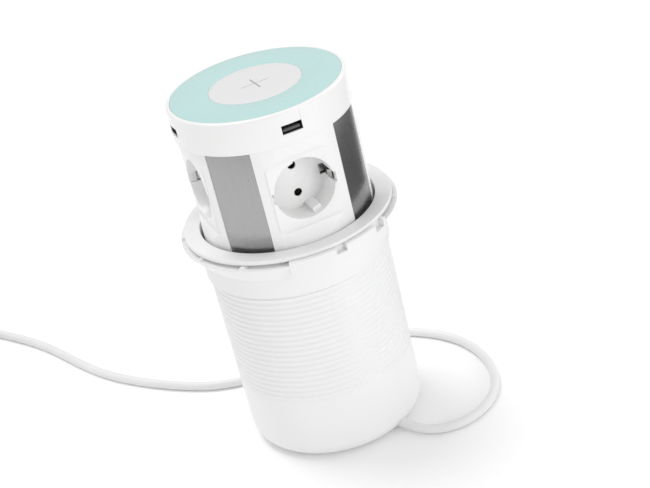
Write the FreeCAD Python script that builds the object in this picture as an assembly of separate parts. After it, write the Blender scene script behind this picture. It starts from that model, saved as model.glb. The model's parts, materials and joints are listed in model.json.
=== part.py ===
"""Pop-up desk socket tower: a head with four earthed sockets, USB outlets and a charging top
that slides up out of a threaded barrel, which a clamp nut holds in a round hole in a desktop.

Millimetres.  +Z is the tower's axis, z = 0 is the surface that the barrel stands on, and the
front socket faces -Y.  The head is drawn pulled out and the nut is drawn run up to the flange.
An azimuth is counted in degrees from -Y towards +X.
"""
import FreeCAD, Part
import math
import os

V = FreeCAD.Vector
AXIS = V(0, 0, 1)
os.makedirs("parts", exist_ok=True)

# ---- driving dimensions: barrel and nut ------------------------------------------------
TOTAL_H = 250.0          # height with the head pulled out
BARREL_R = 60.2          # thread crest and plain lower part
THREAD_DEPTH = 0.6
THREAD_PITCH = 4.0
THREAD_Z0 = 47.8         # lowest thread
THREAD_RIBS = 27
BORE_R = 58.3            # inside of the barrel
FOOT_EDGE_R = 12.0       # rounding round the foot
FLANGE_R = 69.2
FLANGE_TOP = 161.8
FLANGE_T = 2.5
FLANGE_HOLE_R = 58.5
FLANGE_EDGE = 0.5
FLOOR_Z0, FLOOR_Z1 = 16.0, 19.0
FOOT_RECESS_R = 46.0
GUIDE_R, GUIDE_Z0, GUIDE_Z1 = 56.9, 127.4, 134.0

NUT_R = 72.0
NUT_BORE_R = 60.6
NUT_TOP = 159.0
NUT_LIP_Z0, NUT_LIP_Z1 = 155.4, 157.0
NUT_LUG_Z0 = 148.0
NUT_COLLAR_R, NUT_COLLAR_Z0, NUT_COLLAR_Z1 = 62.0, 129.7, 143.5
NUT_LUGS = ((-21.0, 38.5), (160.0, 219.0))                 # azimuths of the closed lugs
NUT_RIBS = (-46.0, -75.0, -105.0, 62.0, 89.0, 116.0, 140.0)    # ribs across the open pockets
NUT_RIB_HALF = 1.3
NUT_NOTCHES = ((3.5, 9.3, 154.8), (29.3, 36.3, 154.0), (184.5, 190.3, 154.8), (209.3, 216.0, 154.0))
WASHER_T = 0.55

# ---- driving dimensions: head ----------------------------------------------------------
CAP_R = 57.9
CAP_H = 21.3
CAP_WALL = 2.3
CAP_EDGE_R = 1.8
PLATE_R = 55.05          # outer edge of the coloured ring
PAD_R = 30.0             # charging pad in its middle
PLATE_T = 2.5
DECK_T = 2.4
BODY_R = 56.6
BODY_WALL = 2.6
HEAD_BASE_R = 58.0
HEAD_BASE_Z0 = 124.2
HEAD_BASE_T = 3.0

SOCKET_AZ = {"front": 0, "right": 90, "rear": 180, "left": 270}
PANEL_AZ = {"front_right": 45, "rear_right": 135, "rear_left": 225, "front_left": 315}
FACE_D = 52.7            # flat socket face to the axis
FACE_Z0, FACE_Z1 = 171.0, 217.6
FACE_HALF = 22.0         # half width of the socket insert
FACE_T = 2.6
LEDGE_RISE = 7.2         # height of the crescent above and below the flat face
SOCKET_Z = 195.7
RECESS_R, RECESS_DEPTH = 20.0, 17.3
CUP_WALL = 1.6
PIN_PITCH, PIN_HOLE_R = 19.0, 2.7
RIB_DEPTH, RIB_TURN = 3.2, 18.0          # keying ribs on the recess wall, turned off the pins' line
EAR_HALF, EAR_NOTCH_X = 3.5, 21.2        # slots for the earth clip's tips, open at the face
CLIP_HALF = 2.5
SLEEVE_BACK = 4.0        # contact sleeves behind the recess floor
PANEL_HALF_AZ = 15.6
PANEL_R0, PANEL_R1 = 55.4, 56.25
PANEL_Z0 = 145.0

USB_Z = 238.65
USB_W, USB_H, USB_LEN, USB_SHEET = 13.0, 5.5, 13.6, 0.35

# ---- driving dimensions: mains cord ----------------------------------------------------
CORD_D = 6.4
CORD_LENGTH = 1460.0     # free length, from the gland to the plug
GLAND_AZ, GLAND_Z, GLAND_END = 26.0, 5.4, 56.0
COIL_TURN_R = (34.3, 40.7)
COIL_X, COIL_Y = -249.0, 295.0
COIL_Z0 = 1.0
COIL_TURNS = 3.5
TIE_T, TIE_W = 0.9, 9.0

CAP_Z0 = TOTAL_H - CAP_H
DECK_TOP = TOTAL_H - PLATE_T
DECK_Z0 = DECK_TOP - DECK_T
BODY_Z0 = HEAD_BASE_Z0 + HEAD_BASE_T


# ---- helpers ---------------------------------------------------------------------------
def cyl(r, z0, z1, x=0.0, y=0.0):
    return Part.makeCylinder(r, z1 - z0, V(x, y, z0))


def ring(r_in, r_out, z0, z1, x=0.0, y=0.0):
    return cyl(r_out, z0, z1, x, y).cut(cyl(r_in, z0 - 1, z1 + 1, x, y))


def block(x0, x1, y0, y1, z0, z1):
    return Part.makeBox(x1 - x0, y1 - y0, z1 - z0, V(x0, y0, z0))


def rod(r, y0, y1, x=0.0, z=0.0):
    """A cylinder lying along Y."""
    return Part.makeCylinder(r, y1 - y0, V(x, y0, z), V(0, 1, 0))


def at(radius, azimuth, z=0.0):
    a = math.radians(azimuth)
    return V(radius * math.sin(a), -radius * math.cos(a), z)


def turned(shape, azimuth):
    """A shape drawn facing -Y, turned about the axis to face its azimuth."""
    copy = shape.copy()
    copy.rotate(V(0, 0, 0), AXIS, azimuth)
    return copy


def revolved(outline, az0=0.0, sweep=360.0):
    """Revolve a closed (radius, z) outline from azimuth az0."""
    wire = Part.makePolygon([V(0, -r, z) for r, z in outline + outline[:1]])
    return turned(Part.Face(wire).revolve(V(0, 0, 0), AXIS, sweep), az0)


def sector(r_in, r_out, z0, z1, az0, az1):
    return revolved([(r_in, z0), (r_out, z0), (r_out, z1), (r_in, z1)], az0, az1 - az0)


def all_of(shapes):
    """Join touching shapes into one solid."""
    body = shapes[0]
    for other in shapes[1:]:
        body = body.fuse(other)
    return body.removeSplitter()


def around(make, azimuths):
    """Separate copies of one solid at several azimuths, as one group."""
    return Part.makeCompound([turned(make, a) for a in azimuths])


def rounded(shape, radius, wanted):
    """Fillet the edges that the test picks."""
    return shape.makeFillet(radius, [e for e in shape.Edges if wanted(e)])


def save(name, shape):
    shape.exportStep("parts/" + name + ".step")


def tube(points, r, note=None):
    """Straight runs joined by tangent arcs, each as large as its two runs allow."""
    pts = [V(*p) for p in points]
    edges = []
    start = pts[0]
    radii = []
    for before, corner, after in zip(pts, pts[1:], pts[2:]):
        run_in = corner - before
        run_out = after - corner
        turn = run_in.getAngle(run_out)
        cut = 0.45 * min(run_in.Length, run_out.Length)
        radii.append(cut / math.tan(turn / 2))
        a = corner - run_in.normalize() * cut
        c = corner + run_out.normalize() * cut
        to_middle = ((a - corner) + (c - corner)).normalize()
        middle = corner + to_middle * (radii[-1] / math.cos(turn / 2) - radii[-1])
        edges.append(Part.LineSegment(start, a).toShape())
        edges.append(Part.Arc(a, middle, c).toShape())
        start = c
    edges.append(Part.LineSegment(start, pts[-1]).toShape())
    path = Part.Wire(edges)
    section = Part.Wire(Part.makeCircle(r, pts[0], (pts[1] - pts[0]).normalize()))
    solid = path.makePipeShell([section], True, False)
    if note:
        share = solid.Volume / (math.pi * r * r * path.Length)
        print(note, "length", round(path.Length, 1), "volume over section x length", round(share, 4))
        print("  radii", [round(x) for x in radii])
    return solid, path.Length


def screw(x, y, z_head, length, up, r=1.45, head_r=2.8, head_h=2.0):
    """Pan-head screw with a cross slot; z_head is the plane under its head."""
    way = 1 if up else -1
    direction = V(0, 0, way)
    shank = Part.makeCylinder(r, length, V(x, y, z_head), direction)
    head = Part.makeCylinder(head_r, head_h, V(x, y, z_head), -direction)
    z_slot = z_head - way * head_h
    depth = way * head_h / 2
    z0, z1 = min(z_slot, z_slot + depth), max(z_slot, z_slot + depth)
    slot = block(x - 1.6, x + 1.6, y - 0.35, y + 0.35, z0, z1)
    cross = block(x - 0.35, x + 0.35, y - 1.6, y + 1.6, z0, z1)
    return shank.fuse(head).cut(slot.fuse(cross))


# ---- barrel, nut and foot --------------------------------------------------------------
def barrel_outline():
    """Closed (radius, z) outline of the barrel's wall, flange, floor and foot."""
    foot = BARREL_R - FOOT_EDGE_R
    outline = [(FOOT_RECESS_R, 0.0)]
    for step in range(10):
        a = math.radians(10 * step)
        outline.append((foot + FOOT_EDGE_R * math.sin(a), FOOT_EDGE_R * (1 - math.cos(a))))
    root = BARREL_R - THREAD_DEPTH
    for rib in range(THREAD_RIBS):
        z = THREAD_Z0 + rib * THREAD_PITCH
        outline += [(BARREL_R, z), (root, z + 0.9), (root, z + 2.1), (BARREL_R, z + 3.0)]
    under = FLANGE_TOP - FLANGE_T
    outline += [(BARREL_R, under), (FLANGE_R, under), (FLANGE_R, FLANGE_TOP - FLANGE_EDGE)]
    outline += [(FLANGE_R - FLANGE_EDGE, FLANGE_TOP), (FLANGE_HOLE_R + 0.4, FLANGE_TOP)]
    outline += [(FLANGE_HOLE_R, FLANGE_TOP - 0.4), (BORE_R, FLANGE_TOP - 1.6)]
    outline += [(BORE_R, FLOOR_Z1), (0.0, FLOOR_Z1), (0.0, FLOOR_Z0), (FOOT_RECESS_R, FLOOR_Z0)]
    return outline


FOOT_BOSS_R, FOOT_BOSS_AT = 3.2, 38.0
FOOT_SCREW_AZ = [GLAND_AZ + 45 + 90 * k for k in range(4)]


def barrel():
    body = revolved(barrel_outline())
    for a in FOOT_SCREW_AZ:
        p = at(FOOT_BOSS_AT, a)
        body = body.fuse(ring(1.5, FOOT_BOSS_R, 3.1, FLOOR_Z0, p.x, p.y))
    mouth = rod(4.6, -64.0, -40.0, 0.0, GLAND_Z)
    neck = cyl(6.3, FLOOR_Z0 - 1, FLOOR_Z1 + 1, 0.0, -19.0)
    return body.cut(turned(mouth.fuse(neck), GLAND_AZ))


def foot_cover():
    plate = cyl(FOOT_RECESS_R - 0.2, 0.8, 3.0)
    plate = plate.cut(turned(block(-5.4, 5.4, -50.0, -25.0, 0.0, 4.0), GLAND_AZ))
    for a in FOOT_SCREW_AZ:
        p = at(FOOT_BOSS_AT, a)
        plate = plate.cut(cyl(1.6, 0.0, 4.0, p.x, p.y)).cut(cyl(3.0, 0.0, 2.1, p.x, p.y))
    return plate


def foot_screws():
    spots = [at(FOOT_BOSS_AT, a) for a in FOOT_SCREW_AZ]
    return Part.makeCompound([screw(p.x, p.y, 2.1, 9.0, True, head_h=1.3) for p in spots])


def cord_gland():
    """Elbow that clamps the cord under the floor, with the tapered sleeve that it leaves by."""
    elbow = rounded(block(-6.0, 6.0, -26.0, -12.0, 3.2, FLOOR_Z0 - 0.2), 1.5,
                    lambda e: e.BoundBox.ZLength > 5)
    neck = cyl(6.0, FLOOR_Z0 - 0.3, FLOOR_Z1 + 5.0, 0.0, -19.0)
    cone = Part.makeCone(4.9, 4.1, GLAND_END - 25.0, V(0, -25.0, GLAND_Z), V(0, -1, 0))
    rings = [Part.makeTorus(5.0 - 0.1 * k, 0.3, V(0, -30.0 - 4.0 * k, GLAND_Z), V(0, 1, 0))
             for k in range(4)]
    lead_hole = cyl(2.1, 12.0, FLOOR_Z1 + 6.0, 0.0, -19.0)
    return turned(all_of([elbow, neck, cone] + rings).cut(lead_hole), GLAND_AZ)


def gland_nut():
    hexagon = [at(9.2, 60 * k) for k in range(7)]
    nut = Part.Face(Part.makePolygon(hexagon)).extrude(V(0, 0, 4.0))
    nut.translate(V(0, -19.0, FLOOR_Z1 + 0.1))
    return turned(nut.cut(cyl(6.1, FLOOR_Z1 - 1, FLOOR_Z1 + 6, 0.0, -19.0)), GLAND_AZ)


def guide_ring():
    """Ring in the barrel that guides the head, brakes it and stops it from being pulled out."""
    return ring(GUIDE_R, BORE_R - 0.05, GUIDE_Z0, GUIDE_Z1)


def clamp_nut():
    c0, c1 = NUT_COLLAR_Z0, NUT_COLLAR_Z1
    outline = [(NUT_BORE_R, c0), (NUT_COLLAR_R - 0.5, c0), (NUT_COLLAR_R, c0 + 0.5)]
    outline += [(NUT_COLLAR_R, c1), (NUT_R - 0.4, NUT_LIP_Z0), (NUT_R, NUT_LIP_Z0 + 0.4)]
    outline += [(NUT_R, NUT_TOP - 0.4), (NUT_R - 0.4, NUT_TOP), (FLANGE_R + 0.2, NUT_TOP)]
    outline += [(FLANGE_R + 0.2, NUT_TOP - WASHER_T - 0.1), (NUT_BORE_R, NUT_TOP - WASHER_T - 0.1)]
    nut = revolved(outline)
    pocket_floor = NUT_LIP_Z1
    lug_a, lug_b = NUT_LUGS
    for az0, az1 in ((lug_a[1], lug_b[0]), (lug_b[1], lug_a[0] + 360)):
        nut = nut.cut(sector(65.5, NUT_R + 1, pocket_floor, NUT_TOP + 1, az0, az1))
    for az0, az1 in NUT_LUGS:
        nut = nut.fuse(sector(NUT_COLLAR_R - 0.3, NUT_R, NUT_LUG_Z0, NUT_TOP - 2.0, az0, az1))
    for a in NUT_RIBS:
        rib = sector(65.0, NUT_R - 0.8, pocket_floor - 0.5, NUT_TOP - 0.1, a - NUT_RIB_HALF, a + NUT_RIB_HALF)
        nut = nut.fuse(rib)
    for az0, az1, floor in NUT_NOTCHES:
        nut = nut.cut(sector(NUT_R - 4.0, NUT_R + 1, floor, NUT_TOP + 1, az0, az1))
    return nut.cut(cyl(NUT_BORE_R, NUT_COLLAR_Z0 - 1, NUT_TOP + 1)).removeSplitter()


def slip_washer():
    return ring(61.4, 64.7, NUT_TOP - WASHER_T, NUT_TOP)


# ---- head: casing ----------------------------------------------------------------------
CAP_BOSS_AT, CAP_BOSS_R = 48.0, 3.3
CORNERS = [45 + 90 * k for k in range(4)]


def top_cap():
    band = cyl(CAP_R, CAP_Z0, TOTAL_H)
    band = rounded(band, CAP_EDGE_R, lambda e: e.BoundBox.ZMin > TOTAL_H - 0.1)
    band = band.cut(cyl(PLATE_R, DECK_TOP, TOTAL_H + 1))
    band = band.cut(cyl(CAP_R - CAP_WALL, CAP_Z0 - 1, DECK_Z0))
    for a in CORNERS:
        p = at(CAP_BOSS_AT, a)
        band = band.fuse(cyl(CAP_BOSS_R, CAP_Z0 + 0.1, DECK_Z0 + 0.2, p.x, p.y))
        band = band.cut(cyl(1.5, CAP_Z0 - 1, CAP_Z0 + 12, p.x, p.y))
    for a in (60, 180, 300):
        p = at(36.0, a)
        band = band.fuse(cyl(2.0, 240.7, DECK_Z0 + 0.2, p.x, p.y))
    w, h = USB_W / 2 + 0.15, USB_H / 2 + 0.15
    window = block(-w, w, -CAP_R - 1, -50.0, USB_Z - h, USB_Z + h)
    for a in SOCKET_AZ.values():
        band = band.cut(turned(window, a))
    return band


def charging_ring():
    return ring(PAD_R + 0.05, PLATE_R - 0.05, DECK_TOP, TOTAL_H)


def plus_bars(grow=0.0):
    """Plus sign let into the pad: a long thin bar crossed by a shorter, wider one."""
    depth = 0.4 + grow
    long_bar = block(-9.6 - grow, 9.6 + grow, -0.18 - grow, 0.18 + grow, TOTAL_H - depth, TOTAL_H)
    short_bar = block(-0.3 - grow, 0.3 + grow, -8.4 - grow, 8.4 + grow, TOTAL_H - depth, TOTAL_H)
    return turned(long_bar.fuse(short_bar).removeSplitter(), 3.0)


def charging_pad():
    return cyl(PAD_R, DECK_TOP, TOTAL_H).cut(plus_bars(0.02))


def charging_coil():
    """Flat winding seen as eleven close turns."""
    outline = [(9.0, 244.9), (9.0, 243.4), (20.0, 243.4), (20.0, 244.9)]
    for turn in range(10):
        r = 19.5 - turn
        outline += [(r, 244.9), (r - 0.5, 244.5)]
    return revolved(outline)


def charger_board():
    board = cyl(42.0, 239.0, 240.6)
    chips = [block(-30, -22, -6, 2, 240.6, 241.5), block(22, 31, -4, 6, 240.6, 241.5),
             block(-5, 5, 26, 33, 240.6, 241.6), cyl(3.0, 240.6, 242.6, 8, -32)]
    return all_of([board] + chips)


def usb_board():
    board = ring(12.0, 53.5, 234.0, 235.6)
    for a in CORNERS:
        p = at(CAP_BOSS_AT, a)
        board = board.cut(cyl(CAP_BOSS_R + 0.4, 233.0, 237.0, p.x, p.y))
    parts = [cyl(4.0, 235.6, 238.8, p.x, p.y) for p in [at(30.0, a) for a in CORNERS]]
    parts += [turned(block(-6, 6, -34, -28, 235.6, 238.2), a) for a in SOCKET_AZ.values()]
    return all_of([board] + parts)


def usb_port():
    """Folded steel shell, open at its mouth."""
    w, h = USB_W / 2, USB_H / 2
    y_mouth = -(CAP_R - 0.9)
    outer = block(-w, w, y_mouth, y_mouth + USB_LEN, USB_Z - h, USB_Z + h)
    t = USB_SHEET
    inner = block(-w + t, w - t, y_mouth - 1, y_mouth + USB_LEN - 1.2, USB_Z - h + t, USB_Z + h - t)
    feet = [block(s * 5.6 - 0.5, s * 5.6 + 0.5, y_mouth + 6, y_mouth + 8, 235.6, USB_Z - h + 0.1)
            for s in (-1, 1)]
    return all_of([outer.cut(inner)] + feet)


def usb_tongue():
    y_mouth = -(CAP_R - 0.9)
    back = y_mouth + USB_LEN - 1.2
    return block(-5.6, 5.6, y_mouth + 1.0, back, USB_Z - 2.0, USB_Z - 0.15)


def cap_screws():
    spots = [at(CAP_BOSS_AT, a) for a in CORNERS]
    return Part.makeCompound([screw(p.x, p.y, CAP_Z0 - BODY_WALL - 0.1, 12.0, True) for p in spots])


def face_cutter():
    """What is milled away outside one flat socket face, with the sloped crescents."""
    out = BODY_R + 6.0
    rise = LEDGE_RISE * (out - FACE_D) / (BODY_R - FACE_D)
    outline = [(FACE_D, FACE_Z0), (out, FACE_Z0 - rise), (out, FACE_Z1 + rise), (FACE_D, FACE_Z1)]
    wire = Part.makePolygon([V(-30, -r, z) for r, z in outline + outline[:1]])
    return Part.Face(wire).extrude(V(60, 0, 0))


def socket_window(gap=0.0):
    half = FACE_HALF + gap
    frame = block(-half, half, -BODY_R - 1, -FACE_D + FACE_T, FACE_Z0 - gap, FACE_Z1 + gap)
    return rounded(frame, 4.0, lambda e: e.BoundBox.YLength > 5)


def head_housing():
    body = cyl(BODY_R, BODY_Z0, CAP_Z0)
    half = FACE_D - FACE_T
    cavity = cyl(BODY_R - BODY_WALL, BODY_Z0 - 1, CAP_Z0 - BODY_WALL)
    thick = block(-half, half, -half, half, 155.0, CAP_Z0)
    lower = cyl(BODY_R, BODY_Z0 - 2, 155.0)
    body = body.cut(cavity.common(thick.fuse(lower)))
    cutter = face_cutter()
    window = socket_window(0.08)
    cup_bore = rod(RECESS_R + CUP_WALL + 0.1, -BODY_R, -30.0, 0.0, SOCKET_Z)
    for a in SOCKET_AZ.values():
        body = body.cut(turned(cutter, a)).cut(turned(window, a)).cut(turned(cup_bore, a))
    for a in PANEL_AZ.values():
        body = body.cut(sector(PANEL_R0 - 0.1, BODY_R + 1, PANEL_Z0 - 0.2, CAP_Z0 + 1,
                               a - PANEL_HALF_AZ - 0.15, a + PANEL_HALF_AZ + 0.15))
    for a in CORNERS:
        p = at(50.2, a)
        post = cyl(3.6, BODY_Z0, BODY_Z0 + 13, p.x, p.y)
        web = turned(block(-1.2, 1.2, -BODY_R + 1, -50.2, BODY_Z0 + 2, BODY_Z0 + 13), a)
        post = post.fuse(web).common(cyl(BODY_R - 1, BODY_Z0, CAP_Z0))
        body = body.fuse(post).cut(cyl(1.5, BODY_Z0 - 1, BODY_Z0 + 11, p.x, p.y))
        p = at(CAP_BOSS_AT, a)
        body = body.cut(cyl(1.6, CAP_Z0 - 4, CAP_Z0 + 1, p.x, p.y))
        p = at(30.0, a + 22.5)
        body = body.fuse(cyl(2.5, CAP_Z0 - 0.2, 233.9, p.x, p.y))
    return body.cut(cyl(8.0, CAP_Z0 - 4, CAP_Z0 + 1))


def housing_parts():
    """The casing as a skirt below the sockets, four columns between them and a crown above."""
    body = head_housing()
    low, high = FACE_Z0 - 0.08, FACE_Z1 + 0.08
    wide = BODY_R + 5
    skirt = body.common(cyl(wide, BODY_Z0 - 1, low))
    columns = body.common(cyl(wide, low, high))
    crown = body.common(cyl(wide, high, TOTAL_H))
    return {"head_skirt": skirt, "head_columns": columns, "head_crown": crown}


def steel_panel(azimuth):
    return sector(PANEL_R0, PANEL_R1, PANEL_Z0, CAP_Z0 - 0.2,
                  azimuth - PANEL_HALF_AZ, azimuth + PANEL_HALF_AZ)


def head_base():
    plate = cyl(HEAD_BASE_R, HEAD_BASE_Z0, BODY_Z0).fuse(cyl(53.8, BODY_Z0, BODY_Z0 + 1.5))
    plate = plate.cut(cyl(5.0, HEAD_BASE_Z0 - 1, BODY_Z0 + 3))
    for a in CORNERS:
        p = at(50.2, a)
        plate = plate.cut(cyl(3.9, BODY_Z0, BODY_Z0 + 3, p.x, p.y))
        plate = plate.cut(cyl(1.6, HEAD_BASE_Z0 - 1, BODY_Z0 + 3, p.x, p.y))
        plate = plate.cut(cyl(3.0, HEAD_BASE_Z0 - 1, HEAD_BASE_Z0 + 1.6, p.x, p.y))
    return plate


def head_base_screws():
    spots = [at(50.2, a) for a in CORNERS]
    screws = [screw(p.x, p.y, HEAD_BASE_Z0 + 1.6, 10.0, True, head_h=1.5) for p in spots]
    return Part.makeCompound(screws)


# ---- head: sockets and their contacts --------------------------------------------------
CUP_FLOOR = FACE_D - RECESS_DEPTH        # radius of the recess floor from the axis
CUP_BACK = CUP_FLOOR - 1.5


def socket_cup():
    """Flat face plate and round recess of one earthed socket, drawn facing -Y."""
    plate = socket_window().common(cyl(BODY_R - 0.05, 160.0, 230.0))
    plate = plate.common(block(-30, 30, -FACE_D, -FACE_D + FACE_T, 160, 230))
    cup = rod(RECESS_R + CUP_WALL, -FACE_D + FACE_T - 0.1, -CUP_BACK, 0.0, SOCKET_Z)
    body = plate.fuse(cup)
    body = body.cut(rod(RECESS_R, -FACE_D - 2, -CUP_FLOOR, 0.0, SOCKET_Z))
    for half_turn in (0, 180):
        rib = block(-3.0, 3.0, -FACE_D + 4.0, -CUP_FLOOR + 0.2, -RECESS_R - 0.4, RIB_DEPTH - RECESS_R)
        rib.rotate(V(0, 0, 0), V(0, 1, 0), half_turn - RIB_TURN)
        rib.translate(V(0, 0, SOCKET_Z))
        body = body.fuse(rib.common(rod(RECESS_R + 0.5, -FACE_D, -CUP_BACK, 0.0, SOCKET_Z)))
    for dz in (-PIN_PITCH / 2, PIN_PITCH / 2):
        body = body.cut(rod(PIN_HOLE_R, -CUP_FLOOR - 2, -CUP_BACK + 2, 0.0, SOCKET_Z + dz))
    for side in (-1, 1):
        z0, z1 = SOCKET_Z - EAR_HALF, SOCKET_Z + EAR_HALF
        x0, x1 = sorted((side * 16.6, side * 24.0))
        slot = block(x0, x1, -FACE_D + 5.2, -CUP_BACK + 1.0, z0, z1)
        x0, x1 = sorted((side * 16.6, side * EAR_NOTCH_X))
        notch = block(x0, x1, -FACE_D - 1.0, -FACE_D + 6.0, z0, z1)
        body = body.cut(slot).cut(notch)
    return body.removeSplitter()


def earth_clip():
    """Spring strap behind one cup whose two tips look into the recess."""
    z0, z1 = SOCKET_Z - CLIP_HALF, SOCKET_Z + CLIP_HALF
    back = CUP_BACK - 0.3
    strap = block(-23.3, 23.3, -back, -back + 1.0, z0, z1)
    parts = [strap]
    for side in (-1, 1):
        outline = [(23.3, back), (23.3, 43.0), (20.6, 46.6), (18.6, 44.6), (18.6, 43.9),
                   (20.4, 45.3), (22.4, 42.6), (22.4, back)]
        wire = Part.makePolygon([V(side * x, -y, z0) for x, y in outline + outline[:1]])
        parts.append(Part.Face(wire).extrude(V(0, 0, z1 - z0)))
    return all_of(parts)


CARRIER_R = 15.0
TAB_AZ = {"live": 45, "neutral": 135, "earth": 225}
TAB_R = 24.0


def busbar(z, name):
    """Brass ring with a contact sleeve for each socket and a tab for its wire."""
    parts = [ring(CARRIER_R + 0.15, 20.0, z - 0.6, z + 0.6)]
    mouth = -CUP_BACK + SLEEVE_BACK
    sleeve = rod(3.3, mouth, -19.2, 0.0, z)
    parts += [turned(sleeve, a) for a in SOCKET_AZ.values()]
    parts.append(turned(block(-3, 3, -TAB_R - 3.5, -18.0, z - 0.6, z + 0.6), TAB_AZ[name]))
    body = all_of(parts)
    bore = rod(2.45, mouth - 1, -21.0, 0.0, z)
    slit = block(-4, 4, mouth - 1, -24.0, z - 0.3, z + 0.3)
    for a in SOCKET_AZ.values():
        body = body.cut(turned(bore.fuse(slit), a))
    return body


def earth_busbar():
    z0, z1 = SOCKET_Z - 0.6, SOCKET_Z + 0.6
    arm = block(-2.5, 2.5, -(CUP_BACK - 1.3), -18.0, z0, z1)
    parts = [ring(CARRIER_R + 0.15, 20.0, z0, z1)]
    parts += [turned(arm, a) for a in SOCKET_AZ.values()]
    parts.append(turned(block(-3, 3, -TAB_R - 3.5, -18.0, z0, z1), TAB_AZ["earth"]))
    return all_of(parts)


def contact_carrier():
    """Insulating core that the busbars sit round, hung from the casing's deck."""
    core = ring(5.0, CARRIER_R, 176.0, CAP_Z0 - BODY_WALL - 0.1)
    lower_lip = ring(5.0, 18.0, 176.0, 178.0)
    return all_of([core, lower_lip])


POLES = {"earth": -9.5, "live": 0.0, "neutral": 9.5}
BLOCK_Y, BLOCK_TOP = 24.0, BODY_Z0 + 1.5 + 13.0


def terminal_block():
    body = block(-15.5, 15.5, BLOCK_Y - 7, BLOCK_Y + 7, BODY_Z0 + 1.6, BLOCK_TOP)
    for x in POLES.values():
        body = body.cut(rod(1.9, BLOCK_Y - 8, BLOCK_Y - 1, x, BLOCK_TOP - 8))
        body = body.cut(cyl(1.5, BLOCK_TOP - 6, BLOCK_TOP + 1, x, BLOCK_Y + 3))
        body = body.cut(cyl(1.45, BLOCK_TOP - 5, BLOCK_TOP + 1, x, BLOCK_Y - 3))
    return body


def terminal_screws():
    return Part.makeCompound([cyl(1.4, BLOCK_TOP - 5, BLOCK_TOP - 1, x, BLOCK_Y + 3)
                              for x in POLES.values()])


def wire(name, z_tab):
    """Single wire from its pole to the underside of its busbar's tab."""
    x = POLES[name]
    tab = at(TAB_R, TAB_AZ[name])
    y = BLOCK_Y - 3
    points = [(x, y, BLOCK_TOP - 4.9), (x, y, BLOCK_TOP + 10), (tab.x, tab.y, 168.0 + abs(x) / 3),
              (tab.x, tab.y, z_tab - 0.65)]
    return tube(points, 1.3)[0]


def inner_lead():
    """Loose helix of lead between floor and head, drawn as the space that it takes up."""
    return ring(30.4, 34.6, FLOOR_Z1 + 0.3, HEAD_BASE_Z0 - 0.3)


# ---- mains cord ------------------------------------------------------------------------
LIE = CORD_D / 2
CORD_ROUTE = [
    (24.55, -50.33, GLAND_Z), (31.4, -64.4, 4.2), (43.0, -74.2, 3.3), (60.0, -78.2, LIE),
    (79.8, -72.4, LIE), (96.6, -57.0, LIE), (106.4, -34.2, LIE), (108.8, -9.4, LIE),
    (103.8, 15.2, LIE), (90.6, 37.6, LIE), (71.2, 56.8, LIE), (47.0, 72.8, LIE),
    (18.4, 81.2, LIE), (-11.2, 79.6, LIE), (-39.6, 70.8, LIE), (-66.2, 81.8, LIE),
    (-88.4, 101.2, LIE), (-110.2, 125.8, LIE), (-129.2, 152.8, LIE), (-142.6, 181.6, LIE),
    (-153.0, 210.6, LIE), (-164.2, 238.4, LIE), (-177.4, 262.4, LIE), (-190.6, 283.4, LIE),
    (-203.7, 301.7, 3.6)]
TAIL_ROUTE = [(-288.8, 283.5, 10.6), (-288.1, 272.4, 10.4), (-286.9, 261.6, 10.6)]


def coil_box(r_in, r_out, z0, z1):
    return ring(r_in, r_out, z0, z1, COIL_X, COIL_Y)


def cord_coil():
    inner = COIL_TURN_R[0] - LIE - 0.2
    outer = COIL_TURN_R[1] + LIE + 0.2
    body = coil_box(inner, outer, COIL_Z0, COIL_Z0 + 2 * CORD_D + 0.2)
    return rounded(body, 2.4, lambda e: e.Length > 100)


TIE_AZ = 30.0


def cord_tie():
    """Strap round the coil's turns, with its loose tail folded along the top."""
    r0 = COIL_TURN_R[0] - LIE - 0.7
    r1 = COIL_TURN_R[1] + LIE + 0.3
    top = COIL_Z0 + 2 * CORD_D + 0.3
    half = TIE_W / 2
    outer = block(-half, half, -r1 - TIE_T, -r0 + TIE_T, 0.02, top + TIE_T)
    strap = outer.cut(block(-half - 1, half + 1, -r1, -r0, COIL_Z0 - 0.1, top))
    tail = block(-half, half, -r1 + 1.0, -r1 + 13.0, top + TIE_T, top + 2 * TIE_T)
    body = turned(strap.fuse(tail).removeSplitter(), TIE_AZ)
    body.translate(V(COIL_X, COIL_Y, 0))
    return body


# The plug is drawn along +X from its cord end, then laid beside the coil on its front rim.
PLUG_X, PLUG_Y, PLUG_AXIS_Z, PLUG_TURN, PLUG_TILT = -286.9, 261.6, 10.6, 275.0, 8.4
RELIEF_LEN, PLUG_LEN, PLUG_PIN = 32.0, 34.0, 19.0


def lay_plug(shape):
    copy = shape.copy()
    copy.rotate(V(0, 0, 0), V(0, 1, 0), -PLUG_TILT)
    copy.rotate(V(0, 0, 0), AXIS, PLUG_TURN)
    copy.translate(V(PLUG_X, PLUG_Y, PLUG_AXIS_Z))
    return copy


def along_x(outline):
    """Revolve a closed (x, radius) outline about X."""
    wire = Part.makePolygon([V(x, 0, r) for x, r in outline + outline[:1]])
    return Part.Face(wire).revolve(V(0, 0, 0), V(1, 0, 0), 360)


def plug_relief():
    body = along_x([(0.0, 0.0), (0.0, 4.0), (RELIEF_LEN, 5.8), (RELIEF_LEN, 0.0)])
    for k in range(6):
        x = 4.0 + 4.4 * k
        groove = along_x([(x, 3.3), (x, 8.0), (x + 1.6, 8.0), (x + 1.6, 3.3)])
        body = body.cut(groove.common(block(0, 40, -9, 9, 0.9, 9).fuse(block(0, 40, -9, 9, -9, -0.9))))
    return lay_plug(body)


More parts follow.
